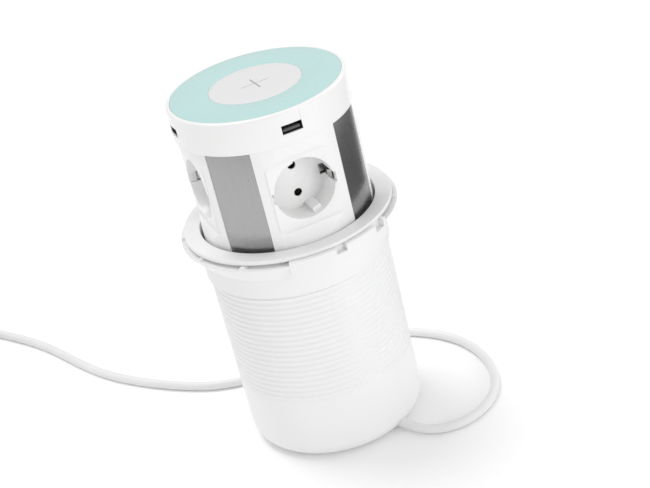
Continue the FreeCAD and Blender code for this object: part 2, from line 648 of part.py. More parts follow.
def plug_body():
    x0, x1 = RELIEF_LEN, RELIEF_LEN + PLUG_LEN
    body = along_x([(x0, 0.0), (x0, 7.0), (x0 + 4.0, 10.5), (x0 + 13.0, 13.6), (x0 + 20.0, 17.2),
                    (x0 + 23.0, 18.6), (x1 - 1.0, 18.6), (x1, 17.8), (x1, 0.0)])
    for side in (-1, 1):
        y0, y1 = sorted((side * 17.2, side * 20.0))
        body = body.cut(block(x0 + 16, x1 + 1, y0, y1, -2.6, 2.6))
        z0, z1 = sorted((side * 16.8, side * 20.0))
        body = body.cut(block(x1 - 12, x1 + 1, -2.7, 2.7, z0, z1))
    return lay_plug(body)


def plug_pins():
    x1 = RELIEF_LEN + PLUG_LEN
    pins = []
    for side in (-1, 1):
        pin = Part.makeCylinder(2.4, PLUG_PIN, V(x1, 0, side * PIN_PITCH / 2), V(1, 0, 0))
        pins.append(lay_plug(rounded(pin, 1.4, lambda e: e.BoundBox.XMin > x1 + PLUG_PIN - 0.1)))
    return Part.makeCompound(pins)


def plug_earth_strips():
    x1 = RELIEF_LEN + PLUG_LEN
    strips = []
    for side in (-1, 1):
        y0, y1 = sorted((side * 17.25, side * 18.3))
        strips.append(lay_plug(block(x1 - 17.5, x1 - 0.6, y0, y1, -2.3, 2.3)))
    return Part.makeCompound(strips)


# ---- build -----------------------------------------------------------------------------
def build():
    save("barrel", barrel())
    save("foot_cover", foot_cover())
    save("foot_cover_screws", foot_screws())
    save("cord_gland", cord_gland())
    save("gland_nut", gland_nut())
    save("guide_ring", guide_ring())
    save("clamp_nut", clamp_nut())
    save("slip_washer", slip_washer())

    save("top_cap", top_cap())
    save("charging_ring", charging_ring())
    save("charging_pad", charging_pad())
    save("pad_plus_mark", plus_bars())
    save("charging_coil", charging_coil())
    save("coil_ferrite", cyl(22.5, 241.9, 243.3))
    save("charger_board", charger_board())
    save("usb_board", usb_board())
    save("usb_tongues", around(usb_tongue(), SOCKET_AZ.values()))
    save("cap_screws", cap_screws())
    for name, shape in housing_parts().items():
        save(name, shape)
    save("head_base", head_base())
    save("head_base_screws", head_base_screws())
    for side, azimuth in SOCKET_AZ.items():
        save("usb_shell_" + side, turned(usb_port(), azimuth))
        save("socket_" + side, turned(socket_cup(), azimuth))
        save("earth_clip_" + side, turned(earth_clip(), azimuth))
    for side, azimuth in PANEL_AZ.items():
        save("steel_panel_" + side, steel_panel(azimuth))

    save("contact_carrier", contact_carrier())
    z_live, z_neutral = SOCKET_Z + PIN_PITCH / 2, SOCKET_Z - PIN_PITCH / 2
    save("live_busbar", busbar(z_live, "live"))
    save("neutral_busbar", busbar(z_neutral, "neutral"))
    save("earth_busbar", earth_busbar())
    save("terminal_block", terminal_block())
    save("terminal_screws", terminal_screws())
    save("wire_live", wire("live", z_live))
    save("wire_neutral", wire("neutral", z_neutral))
    save("wire_earth", wire("earth", SOCKET_Z))
    save("inner_lead", inner_lead())

    run, run_length = tube(CORD_ROUTE, LIE, "cord run")
    tail, tail_length = tube(TAIL_ROUTE, LIE)
    turns = 2 * math.pi * sum(COIL_TURN_R) / 2 * COIL_TURNS
    print("cord", round(run_length + turns + tail_length), "of", CORD_LENGTH)
    save("cord_run", Part.makeCompound([run, tail]))
    save("cord_coil", cord_coil())
    save("cord_tie", cord_tie())
    save("plug_relief", plug_relief())
    save("plug_body", plug_body())
    save("plug_pins", plug_pins())
    save("plug_earth_strips", plug_earth_strips())


build()
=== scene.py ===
"""Studio picture of a pop-up desk socket tower: four sockets, USB outlets and a charging top on a
head that slides out of a threaded barrel, with the barrel's clamp nut run up to its flange.

Shapes are drawn in millimetres in the part's frame and scaled to metres when they become pieces.
An azimuth is counted in degrees from -Y towards +X, as seen from above.
"""
import bmesh
import bpy
import json
import math
from mathutils import Matrix, Vector


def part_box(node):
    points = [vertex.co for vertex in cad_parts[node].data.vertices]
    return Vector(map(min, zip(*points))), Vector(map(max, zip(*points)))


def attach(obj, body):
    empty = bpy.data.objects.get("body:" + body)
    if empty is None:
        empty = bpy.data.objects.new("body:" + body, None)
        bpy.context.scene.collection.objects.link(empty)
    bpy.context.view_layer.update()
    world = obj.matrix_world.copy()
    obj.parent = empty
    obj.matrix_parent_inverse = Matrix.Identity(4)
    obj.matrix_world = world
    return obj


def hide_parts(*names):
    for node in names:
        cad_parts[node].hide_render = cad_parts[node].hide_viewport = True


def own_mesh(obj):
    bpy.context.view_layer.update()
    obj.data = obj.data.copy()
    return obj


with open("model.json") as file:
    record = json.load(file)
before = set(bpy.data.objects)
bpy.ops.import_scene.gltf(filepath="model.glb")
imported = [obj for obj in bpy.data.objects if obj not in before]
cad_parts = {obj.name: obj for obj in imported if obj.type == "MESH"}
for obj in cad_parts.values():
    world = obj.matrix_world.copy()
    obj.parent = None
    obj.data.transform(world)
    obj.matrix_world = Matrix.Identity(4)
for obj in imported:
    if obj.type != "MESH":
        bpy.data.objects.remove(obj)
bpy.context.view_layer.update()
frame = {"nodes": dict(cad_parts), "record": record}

NODES = frame["nodes"]
MM = 0.001
EDGE_ANGLE = 32.0
SIDES = {"front": 0, "right": 90, "rear": 180, "left": 270}
PANELS = {"front_right": 45, "rear_right": 135, "rear_left": 225, "front_left": 315}
CORNERS = [45 + 90 * k for k in range(4)]


def mm_box(node):
    """Lowest and highest corner of a CAD node, in millimetres."""
    low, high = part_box(node)
    return low / MM, high / MM


# ---- camera ----------------------------------------------------------------------------
def add_camera():
    """Camera above the front left, rolled so that the upright tower leans in the picture."""
    place = Vector((-0.21775, -0.81266, 0.5744))
    aim = Vector((0.01764, -0.00473, 0.12801))
    roll = math.radians(-13.95)
    forward = (aim - place).normalized()
    right = forward.cross(Vector((0, 0, 1))).normalized()
    up = right.cross(forward)
    across = right * math.cos(roll) + up * math.sin(roll)
    upward = up * math.cos(roll) - right * math.sin(roll)
    data = bpy.data.cameras.new("camera")
    data.lens = 79.73
    data.sensor_width = 36.0
    data.clip_start = 0.01
    camera = bpy.data.objects.new("camera", data)
    stance = Matrix((across, upward, -forward)).transposed().to_4x4()
    camera.matrix_world = Matrix.Translation(place) @ stance
    bpy.context.scene.collection.objects.link(camera)
    bpy.context.scene.camera = camera


add_camera()


# ---- materials -------------------------------------------------------------------------
def shader(name, colour, roughness, metallic=0.0):
    """New material; gives its node tree and its main shader."""
    material = bpy.data.materials.new(name)
    material.use_nodes = True
    material.diffuse_color = (*colour, 1.0)
    main = material.node_tree.nodes["Principled BSDF"]
    main.inputs["Base Color"].default_value = (*colour, 1.0)
    main.inputs["Roughness"].default_value = roughness
    main.inputs["Metallic"].default_value = metallic
    return material, material.node_tree, main


def noise(tree, scale, detail=3.0, stretch=(1, 1, 1)):
    """Noise on object coordinates, in features per metre, stretched along the axes."""
    where = tree.nodes.new("ShaderNodeTexCoord")
    mapping = tree.nodes.new("ShaderNodeMapping")
    mapping.inputs["Scale"].default_value = stretch
    texture = tree.nodes.new("ShaderNodeTexNoise")
    texture.inputs["Scale"].default_value = scale
    texture.inputs["Detail"].default_value = detail
    tree.links.new(where.outputs["Object"], mapping.inputs["Vector"])
    tree.links.new(mapping.outputs["Vector"], texture.inputs["Vector"])
    return texture.outputs["Fac"]


def spread(tree, factor, low, high, start=0.3, end=0.7):
    """Colours or numbers from low to high as the factor goes from start to end."""
    ramp = tree.nodes.new("ShaderNodeMapRange")
    ramp.inputs["From Min"].default_value = start
    ramp.inputs["From Max"].default_value = end
    tree.links.new(factor, ramp.inputs["Value"])
    if not isinstance(low, tuple):
        ramp.inputs["To Min"].default_value = low
        ramp.inputs["To Max"].default_value = high
        return ramp.outputs["Result"]
    mix = tree.nodes.new("ShaderNodeMix")
    mix.data_type = "RGBA"
    mix.inputs["A"].default_value = (*low, 1.0)
    mix.inputs["B"].default_value = (*high, 1.0)
    tree.links.new(ramp.outputs["Result"], mix.inputs["Factor"])
    return mix.outputs["Result"]


def shade(colour, factor):
    """The colour made lighter or darker by a factor."""
    return tuple(min(1.0, c * factor) for c in colour)


def add_bump(tree, main, height, distance, strength):
    bump = tree.nodes.new("ShaderNodeBump")
    bump.inputs["Distance"].default_value = distance
    bump.inputs["Strength"].default_value = strength
    tree.links.new(height, bump.inputs["Height"])
    tree.links.new(bump.outputs["Normal"], main.inputs["Normal"])


def moulded(name, colour, roughness, grain=3200.0, depth=0.000004, mottle=0.03, coat=0.0):
    """Moulded plastic: spark-eroded grain, faint flow marks and uneven gloss."""
    material, tree, main = shader(name, colour, roughness)
    flow = noise(tree, 38.0, 4.0, (1, 1, 0.45))
    tree.links.new(spread(tree, flow, shade(colour, 1 - mottle), shade(colour, 1 + mottle)),
                   main.inputs["Base Color"])
    tree.links.new(spread(tree, noise(tree, 170.0), roughness - 0.015, roughness + 0.02),
                   main.inputs["Roughness"])
    main.inputs["Coat Weight"].default_value = coat
    main.inputs["Coat Roughness"].default_value = 0.12
    add_bump(tree, main, noise(tree, grain, 2.0), depth, 0.5)
    return material


def brushed(name, colour, roughness, stretch=(1, 1, 0.012), depth=0.00002, tone=0.12):
    """Metal with fine brush lines along the axis that the noise is stretched on."""
    material, tree, main = shader(name, colour, roughness, 1.0)
    lines = noise(tree, 5200.0, 3.0, stretch)
    tree.links.new(spread(tree, lines, shade(colour, 1 - tone), shade(colour, 1 + tone)),
                   main.inputs["Base Color"])
    tree.links.new(spread(tree, noise(tree, 60.0), roughness - 0.015, roughness + 0.025),
                   main.inputs["Roughness"])
    add_bump(tree, main, lines, depth, 0.35)
    return material


def strap_cloth(name, colour):
    """Woven loop fastener with a short nap."""
    material, tree, main = shader(name, colour, 0.9)
    weave = noise(tree, 1500.0, 2.0, (1, 1, 2.5))
    tree.links.new(spread(tree, weave, shade(colour, 0.6), shade(colour, 1.7)),
                   main.inputs["Base Color"])
    main.inputs["Sheen Weight"].default_value = 0.3
    add_bump(tree, main, weave, 0.0003, 0.8)
    return material


def board_lacquer(name, colour):
    """Circuit board: lacquer with a faint pattern of copper tracks under it."""
    material, tree, main = shader(name, colour, 0.3)
    where = tree.nodes.new("ShaderNodeTexCoord")
    tracks = tree.nodes.new("ShaderNodeTexVoronoi")
    tracks.distance = "MANHATTAN"
    tracks.feature = "DISTANCE_TO_EDGE"
    tracks.inputs["Scale"].default_value = 190.0
    tree.links.new(where.outputs["Object"], tracks.inputs["Vector"])
    lacquer = spread(tree, tracks.outputs["Distance"], shade(colour, 1.9), colour, 0.02, 0.06)
    tree.links.new(lacquer, main.inputs["Base Color"])
    add_bump(tree, main, tracks.outputs["Distance"], 0.00005, 0.3)
    return material


WHITE = (0.865, 0.865, 0.862)
LOOKS = {
    "barrel_plastic": moulded("barrel_plastic", (0.845, 0.845, 0.845), 0.38, mottle=0.006),
    "white_plastic": moulded("white_plastic", WHITE, 0.3, mottle=0.005, coat=0.15),
    "mint_plastic": moulded("mint_plastic", (0.475, 0.70, 0.68), 0.26, mottle=0.008, coat=0.3),
    "pad_plastic": moulded("pad_plastic", (0.725, 0.725, 0.725), 0.5, mottle=0.006),
    "grey_mark": moulded("grey_mark", (0.23, 0.23, 0.24), 0.5),
    "copper_wire": brushed("copper_wire", (0.70, 0.36, 0.20), 0.28),
    "ferrite": moulded("ferrite", (0.035, 0.035, 0.04), 0.7, 1200.0, 0.00004, 0.2),
    "circuit_board": board_lacquer("circuit_board", (0.02, 0.10, 0.05)),
    "dark_plastic": moulded("dark_plastic", (0.10, 0.10, 0.102), 0.45, mottle=0.1),
    "dark_steel": brushed("dark_steel", (0.05, 0.05, 0.055), 0.35),
    # bright_metal's base colour is lowered to 0.46 so that the earth clips look dark inside the
    # socket recesses: painted shade, also carried by the plug pins that share this look.
    "bright_metal": brushed("bright_metal", (0.46, 0.455, 0.44), 0.24, (1, 1, 0.05)),
    "brushed_steel": brushed("brushed_steel", (0.385, 0.385, 0.385), 0.27, (1, 1, 0.006),
                             0.000006, 0.05),
    "brass_strip": brushed("brass_strip", (0.37, 0.325, 0.255), 0.4, (0.05, 1, 1)),
    "screw_steel": brushed("screw_steel", (0.60, 0.60, 0.63), 0.32, (1, 0.1, 1)),
    "grey_plastic": moulded("grey_plastic", (0.50, 0.51, 0.52), 0.5),
    "brown_insulation": moulded("brown_insulation", (0.13, 0.045, 0.02), 0.4),
    "blue_insulation": moulded("blue_insulation", (0.01, 0.05, 0.30), 0.4),
    "green_yellow_insulation": moulded("green_yellow_insulation", (0.20, 0.45, 0.03), 0.4),
    "clear_nylon": moulded("clear_nylon", (0.78, 0.77, 0.72), 0.35),
    "white_cord": moulded("white_cord", (0.80, 0.80, 0.80), 0.42, 1800.0, 0.00002, 0.02),
    "cord_plastic": moulded("cord_plastic", (0.83, 0.83, 0.83), 0.4, 1600.0, 0.00003, 0.02),
    "tie_strap": strap_cloth("tie_strap", (0.03, 0.03, 0.032)),
}
SLOT_OF = {part["node"]: part["material_slot"] for part in frame["record"]["subparts"]}
BODIES = frame["record"]["behaviour"]["bodies"]
BODY_OF = {node: body for body, nodes in BODIES.items() for node in nodes}


# ---- solids, drawn in millimetres ------------------------------------------------------
def solid(bm):
    """An object made from a bmesh, with its faces turned outwards."""
    bmesh.ops.remove_doubles(bm, verts=bm.verts, dist=1e-4)
    bmesh.ops.recalc_face_normals(bm, faces=bm.faces)
    mesh = bpy.data.meshes.new("solid")
    bm.to_mesh(mesh)
    bm.free()
    obj = bpy.data.objects.new("solid", mesh)
    bpy.context.scene.collection.objects.link(obj)
    return obj


def polar(r, azimuth, z=0.0):
    """The point at a radius, azimuth and height."""
    a = math.radians(azimuth)
    return Vector((r * math.sin(a), -r * math.cos(a), z))


def lathe(outline, az0=0.0, sweep=360.0, steps=240, middle=(0.0, 0.0)):
    """Turn a closed (radius, z) outline about a vertical line, all round or over part of a turn."""
    bm = bmesh.new()
    whole = sweep >= 360.0
    count = steps if whole else max(2, round(steps * sweep / 360.0)) + 1
    shift = Vector((middle[0], middle[1], 0.0))
    rings = []
    for k in range(count):
        azimuth = az0 + sweep * k / (count if whole else count - 1)
        rings.append([bm.verts.new(polar(r, azimuth, z) + shift) for r, z in outline])
    size = len(outline)
    for k in range(count if whole else count - 1):
        here, there = rings[k], rings[(k + 1) % count]
        for j in range(size):
            n = (j + 1) % size
            if outline[j][0] < 1e-9 and outline[n][0] < 1e-9:
                continue
            corners = [here[j], here[n], there[n], there[j]]
            if outline[j][0] < 1e-9:
                corners = [here[j], here[n], there[n]]
            elif outline[n][0] < 1e-9:
                corners = [here[j], here[n], there[j]]
            bm.faces.new(corners)
    if not whole:
        bm.faces.new(rings[0])
        bm.faces.new(rings[-1])
    return solid(bm)


def disc(r, z0, z1, steps=240, middle=(0.0, 0.0)):
    """An upright cylinder."""
    return lathe([(0.0, z0), (r, z0), (r, z1), (0.0, z1)], steps=steps, middle=middle)


def hoop(r0, r1, z0, z1, az0=0.0, sweep=360.0, steps=240, middle=(0.0, 0.0)):
    """A ring of rectangular section, or a part of one."""
    return lathe([(r0, z0), (r1, z0), (r1, z1), (r0, z1)], az0, sweep, steps, middle)


def prism(points, depth):
    """A flat outline of 3-D points, pushed along a vector."""
    bm = bmesh.new()
    low = [bm.verts.new(Vector(p)) for p in points]
    high = [bm.verts.new(Vector(p) + Vector(depth)) for p in points]
    bm.faces.new(low)
    bm.faces.new(high)
    for k, vert in enumerate(low):
        n = (k + 1) % len(low)
        bm.faces.new([vert, low[n], high[n], high[k]])
    return solid(bm)


def block(x0, x1, y0, y1, z0, z1):
    return prism([(x0, y0, z0), (x1, y0, z0), (x1, y1, z0), (x0, y1, z0)], (0, 0, z1 - z0))


def pill(x0, x1, y0, y1, z0, z1, corner, steps=8):
    """A block along Y whose four long edges are rounded."""
    points = []
    for cx, cz, start in ((x1, z1, 0), (x0, z1, 90), (x0, z0, 180), (x1, z0, 270)):
        mid_x = cx - corner if cx == x1 else cx + corner
        mid_z = cz - corner if cz == z1 else cz + corner
        for k in range(steps + 1):
            a = math.radians(start + 90.0 * k / steps)
            points.append((mid_x + corner * math.cos(a), y0, mid_z + corner * math.sin(a)))
    return prism(points, (0, y1 - y0, 0))


def rod(r, y0, y1, z, steps=64):
    """A cylinder along Y at a height above the tower's foot."""
    turns = [2 * math.pi * k / steps for k in range(steps)]
    ends = [(r * math.cos(a), y0, z + r * math.sin(a)) for a in turns]
    return prism(ends, (0, y1 - y0, 0))


def turned(obj, azimuth):
    obj.data.transform(Matrix.Rotation(math.radians(azimuth), 4, "Z"))
    return obj


def moved(obj, x, y, z):
    obj.data.transform(Matrix.Translation(Vector((x, y, z))))
    return obj


def copied(obj):
    twin = bpy.data.objects.new("solid", obj.data.copy())
    bpy.context.scene.collection.objects.link(twin)
    return twin


def settle(obj):
    """Bake an object's modifiers into its mesh."""
    graph = bpy.context.evaluated_depsgraph_get()
    made = bpy.data.meshes.new_from_object(obj.evaluated_get(graph))
    obj.modifiers.clear()
    obj.data = made
    return obj


def combine(obj, others, operation):
    """Add or cut away other solids, which are used up."""
    for other in others:
        step = obj.modifiers.new("step", "BOOLEAN")
        step.operation = operation
        step.solver = "EXACT"
        step.object = other
    settle(obj)
    for other in others:
        bpy.data.objects.remove(other)
    return obj


def cut(obj, *others):
    return combine(obj, others, "DIFFERENCE")


def joined(obj, *others):
    return combine(obj, others, "UNION")


def grouped(obj, *others):
    """Put separate solids into one object without merging them."""
    bm = bmesh.new()
    for source in (obj, *others):
        bm.from_mesh(source.data)
    for other in others:
        bpy.data.objects.remove(other)
    bm.to_mesh(obj.data)
    bm.free()
    return obj


def eased(obj, width, segments=2, angle=EDGE_ANGLE):
    """Round the sharp edges a little, as a mould or a tumbler leaves them."""
    bevel = obj.modifiers.new("ease", "BEVEL")
    bevel.width = width
    bevel.segments = segments
    bevel.limit_method = "ANGLE"
    bevel.angle_limit = math.radians(angle)
    bevel.use_clamp_overlap = True
    bevel.miter_outer = "MITER_ARC"
    return settle(obj)


def smooth(obj):
    """Shade smoothly, apart from edges sharper than EDGE_ANGLE."""
    mesh = obj.data
    mesh.polygons.foreach_set("use_smooth", [True] * len(mesh.polygons))
    mesh.set_sharp_from_angle(angle=math.radians(EDGE_ANGLE))


def wear(obj, slot_name):
    """Give a piece the look of a slot."""
    obj.data.materials.clear()
    obj.data.materials.append(LOOKS[slot_name])


def piece(name, obj, *nodes):
    """Make an object drawn in millimetres into a piece that stands for CAD nodes."""
    obj.name = name
    obj.data.name = name
    if obj.type == "MESH":
        obj.data.transform(Matrix.Scale(MM, 4))
        smooth(obj)
    wear(obj, SLOT_OF[nodes[0]])
    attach(obj, BODY_OF[nodes[0]])
    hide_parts(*nodes)
    return obj


# ---- mains cord ------------------------------------------------------------------------
CORD_D = 0.0064
LIE = CORD_D / 2
CORD_ROUTE = [
    (0.02455, -0.05033, 0.0054), (0.0314, -0.0644, 0.0042), (0.0430, -0.0742, 0.0033),
    (0.0600, -0.0782, LIE), (0.0798, -0.0724, LIE), (0.0966, -0.0570, LIE), (0.1064, -0.0342, LIE),
    (0.1088, -0.0094, LIE), (0.1038, 0.0152, LIE), (0.0906, 0.0376, LIE), (0.0712, 0.0568, LIE),
    (0.0470, 0.0728, LIE), (0.0184, 0.0812, LIE), (-0.0112, 0.0796, LIE), (-0.0396, 0.0708, LIE),
    (-0.0662, 0.0818, LIE), (-0.0884, 0.1012, LIE), (-0.1102, 0.1258, LIE), (-0.1292, 0.1528, LIE),
    (-0.1426, 0.1816, LIE), (-0.1530, 0.2106, LIE), (-0.1642, 0.2384, LIE), (-0.1774, 0.2624, LIE),
    (-0.1906, 0.2834, LIE), (-0.2037, 0.3017, 0.0036)]
TAIL_ROUTE = [(-0.2881, 0.2724, 0.0104), (-0.2869, 0.2616, 0.0106)]
COIL_MIDDLE = Vector((-0.249, 0.295, 0.0042))
COIL_OUTER, COIL_INNER = 0.0407, 0.0343
COIL_START, COIL_SWEEP = 15.0, 1261.0
TURN_POINTS = 16


def passage(value, start, end):
    """0 before start, 1 after end and a smooth change between them."""
    t = min(1.0, max(0.0, (value - start) / (end - start)))
    return t * t * (3 - 2 * t)


def coil_points():
    """Outer turn, inner turn, then the inner and outer turns of the layer on top."""
    points = []
    count = round(COIL_SWEEP / 360.0 * TURN_POINTS)
    for k in range(1, count + 1):
        swept = COIL_SWEEP * k / count
        inward = passage(swept, 275, 345) - passage(swept, 850, 920)
        r = (COIL_OUTER + (COIL_INNER - COIL_OUTER) * inward) / math.cos(math.pi / TURN_POINTS)
        a = math.radians(COIL_START + swept)
        lift = CORD_D * passage(swept, 555, 635)
        points.append(COIL_MIDDLE + Vector((r * math.cos(a), r * math.sin(a), lift)))
    return points


def nurbs(name, points, radius):
    """A round tube along a smooth curve."""
    curve = bpy.data.curves.new(name, "CURVE")
    curve.dimensions = "3D"
    curve.bevel_depth = radius
    curve.bevel_resolution = 6
    curve.resolution_u = 10
    curve.use_fill_caps = True
    spline = curve.splines.new("NURBS")
    spline.points.add(len(points) - 1)
    for point, place in zip(spline.points, points):
        point.co = (*place, 1.0)
    spline.order_u = 3
    spline.use_endpoint_u = True
    obj = bpy.data.objects.new(name, curve)
    bpy.context.scene.collection.objects.link(obj)
    return obj


cord_curve = nurbs("mains_cord", CORD_ROUTE + coil_points() + TAIL_ROUTE, LIE)
mains_cord = piece("mains_cord", cord_curve, "cord_run", "cord_coil")


# ---- barrel ----------------------------------------------------------------------------
TOTAL_H = mm_box("charging_ring")[1].z
BARREL_R, THREAD_DEPTH, PITCH = 60.2, 0.6, 4.0
THREAD_Z0, THREAD_Z1 = 47.8, 155.8
BORE_R = 58.3
FLANGE_R, FLANGE_TOP, FLANGE_T, FLANGE_HOLE_R = 69.2, mm_box("barrel")[1].z, 2.5, 58.5
FOOT_EDGE_R, FOOT_RECESS_R = 12.0, 46.0
FLOOR_Z0, FLOOR_Z1 = 16.0, 19.0
GLAND_AZ, GLAND_Z = 26.0, 5.4
FOOT_SCREW_AZ = [GLAND_AZ + 45 + 90 * k for k in range(4)]
FOOT_SCREW_R = 38.0
FOOT_SCREW_SEAT = 2.1
BOSS_BORE_R, SCREW_HOLE_R, SCREW_SINK_R = 1.5, 1.6, 3.0
SCREW_R, SCREW_HEAD_R = 1.45, 2.8


def arc(middle_r, middle_z, radius, start, end, steps):
    """(radius, z) points round a corner, angles counted from outwards towards up."""
    angles = [math.radians(start + (end - start) * k / steps) for k in range(steps + 1)]
    return [(middle_r + radius * math.cos(a), middle_z + radius * math.sin(a)) for a in angles]


def thread_radius(z, azimuth):
    """Radius of the screw thread at a height and azimuth, faded in and out at its two ends."""
    phase = ((z - THREAD_Z0) / PITCH - azimuth / 360.0) % 1.0
    groove = passage(phase, 0.10, 0.34) - passage(phase, 0.60, 0.84)
    fade = passage(z, THREAD_Z0, THREAD_Z0 + 3.0) - passage(z, THREAD_Z1 - 3.0, THREAD_Z1)
    return BARREL_R - THREAD_DEPTH * groove * fade


def threaded_wall(steps=288, rows_per_turn=10):
    """Barrel as one closed skin: foot, threaded wall, flange, bore and floor."""
    foot = arc(BARREL_R - FOOT_EDGE_R, FOOT_EDGE_R, FOOT_EDGE_R, -90, 0, 14)
    under = FLANGE_TOP - FLANGE_T
    rows = round((THREAD_Z1 - THREAD_Z0) / PITCH * rows_per_turn)
    thread = [(None, THREAD_Z0 + (THREAD_Z1 - THREAD_Z0) * k / rows) for k in range(rows + 1)]
    flange = [(BARREL_R, under - 0.6)] + arc(BARREL_R + 0.6, under - 0.6, 0.6, 180, 90, 3)
    flange += arc(FLANGE_R - 0.12, under + 0.12, 0.12, -90, 0, 2)
    flange += arc(FLANGE_R - 0.5, FLANGE_TOP - 0.5, 0.5, 0, 90, 4)
    flange += arc(FLANGE_HOLE_R + 0.4, FLANGE_TOP - 0.4, 0.4, 90, 180, 4)
    inside = [(BORE_R, FLANGE_TOP - 1.6), (BORE_R, FLOOR_Z1 + 1.5)]
    inside += arc(BORE_R - 1.5, FLOOR_Z1 + 1.5, 1.5, 0, -90, 4) + [(9.0, FLOOR_Z1), (0.0, FLOOR_Z1)]
    below = [(0.0, FLOOR_Z0), (9.0, FLOOR_Z0), (FOOT_RECESS_R, FLOOR_Z0), (FOOT_RECESS_R, 0.4),
             (FOOT_RECESS_R + 0.4, 0.0)]
    outline = foot + [(BARREL_R, 30.0)] + thread + flange + inside + below
    bm = bmesh.new()
    rings = []
    for k in range(steps):
        azimuth = 360.0 * k / steps
        rings.append([bm.verts.new(polar(thread_radius(z, azimuth) if r is None else r, azimuth, z))
                      for r, z in outline])
    for k in range(steps):
        here, there = rings[k], rings[(k + 1) % steps]
        for j, point in enumerate(outline):
            n = (j + 1) % len(outline)
            if point[0] != 0.0 or outline[n][0] != 0.0:
                bm.faces.new([here[j], here[n], there[n], there[j]])
    bmesh.ops.dissolve_degenerate(bm, dist=1e-5, edges=bm.edges)
    return solid(bm)


def foot_bosses():
    """Posts under the barrel's floor that the foot plate's screws bite into."""
    spots = [polar(FOOT_SCREW_R, a)[:2] for a in FOOT_SCREW_AZ]
    return [hoop(BOSS_BORE_R, 3.2, 3.1, FLOOR_Z0 + 0.02, steps=48, middle=spot) for spot in spots]


piece("barrel_shell", grouped(threaded_wall(), *foot_bosses()), "barrel")
piece("guide_band", lathe([(57.3, 127.4), (58.2, 127.4), (58.2, 134.0), (57.3, 134.0),
                           (56.9, 133.4), (56.9, 128.0)]), "guide_ring")


def foot_plate():
    """Cover in the foot's recess: cord notch, four screw holes and two ring grooves."""
    plate = disc(FOOT_RECESS_R - 0.2, 0.8, 3.0)
    notch = turned(block(-5.4, 5.4, -50.0, -25.0, 0.0, 4.0), GLAND_AZ)
    spots = [polar(FOOT_SCREW_R, a)[:2] for a in FOOT_SCREW_AZ]
    holes = [disc(SCREW_HOLE_R, 0.0, 4.0, 32, spot) for spot in spots]
    sinks = [disc(SCREW_SINK_R, 0.0, FOOT_SCREW_SEAT, 32, spot) for spot in spots]
    rings = [hoop(r, r + 0.8, 0.0, 1.1, steps=120) for r in (20.0, 28.0)]
    return eased(cut(plate, notch, *holes, *sinks, *rings), 0.25)


def cross_screw(length, head_h):
    """Pan-head screw that points up, with its seat at z = 0 and a cross recess below."""
    pitch, tip, arm, half_slot = 0.6, 1.2, 1.5, 0.3
    r, head_r = SCREW_R, SCREW_HEAD_R
    outline = [(0.0, -head_h), (head_r - 0.5, -head_h), (head_r, -head_h + 0.5), (head_r, 0.0),
               (r, 0.0)]
    for k in range(int((length - tip - 0.8) / pitch)):
        z = 0.6 + k * pitch
        outline += [(r, z), (r - 0.22, z + pitch / 2)]
    outline += [(r, length - tip), (0.25, length), (0.0, length)]
    z0, z1 = -head_h - 1, -head_h + 0.7
    return cut(lathe(outline, steps=32), block(-arm, arm, -half_slot, half_slot, z0, z1),
               block(-half_slot, half_slot, -arm, arm, z0, z1))


def screw_set(name, node, radius, azimuths, seat, length, head_h):
    """One screw, copied to every place that it is used."""
    one = cross_screw(length, head_h)
    places = [polar(radius, a, seat) for a in azimuths]
    copies = [moved(copied(one), *p) for p in places[1:]]
    return piece(name, grouped(moved(one, *places[0]), *copies), node)


piece("foot_plate", foot_plate(), "foot_cover")
screw_set("foot_plate_screws", "foot_cover_screws", FOOT_SCREW_R, FOOT_SCREW_AZ,
          FOOT_SCREW_SEAT, 9.0, 1.3)


# ---- cord gland ------------------------------------------------------------------------
def along(outline, steps=64):
    """Turn a closed (distance, radius) outline about X."""
    obj = lathe([(radius, distance) for distance, radius in outline], steps=steps)
    obj.data.transform(Matrix.Rotation(math.radians(90), 4, "Y"))
    return obj


NECK_Y, NECK_R = -19.0, 6.0


def gland_sleeve():
    """Ribbed sleeve round the cord, out through the foot's edge."""
    outline = [(25.0, 0.0), (25.0, 4.9)]
    for k in range(4):
        x = 29.2 + 4.0 * k
        outline += [(x, 4.75 - 0.1 * k), (x + 0.3, 5.2 - 0.1 * k), (x + 1.3, 5.2 - 0.1 * k),
                    (x + 1.6, 4.7 - 0.1 * k)]
    outline += [(55.4, 4.15), (56.0, 3.8), (56.0, 0.0)]
    sleeve = turned(along(outline), -90)
    return moved(sleeve, 0, 0, GLAND_Z)


def gland():
    """Sleeve, elbow and the neck that goes up through the barrel's floor."""
    elbow = eased(block(-6.0, 6.0, -26.0, -12.0, 3.2, FLOOR_Z0 - 0.2), 1.4, 4)
    neck = disc(NECK_R, FLOOR_Z0 - 0.3, FLOOR_Z1 + 5.0, 64, (0.0, NECK_Y))
    return turned(grouped(gland_sleeve(), elbow, neck), GLAND_AZ)


def gland_hexagon():
    """Hexagon nut on the neck, inside the barrel."""
    corners = [polar(9.2, 60 * k, FLOOR_Z1 + 0.1) + Vector((0, NECK_Y, 0)) for k in range(6)]
    bore = disc(NECK_R + 0.1, FLOOR_Z1 - 1, FLOOR_Z1 + 6, 64, (0.0, NECK_Y))
    return turned(eased(cut(prism(corners, (0, 0, 4.0)), bore), 0.4), GLAND_AZ)


piece("gland_elbow", gland(), "cord_gland")
piece("gland_hexagon", gland_hexagon(), "gland_nut")


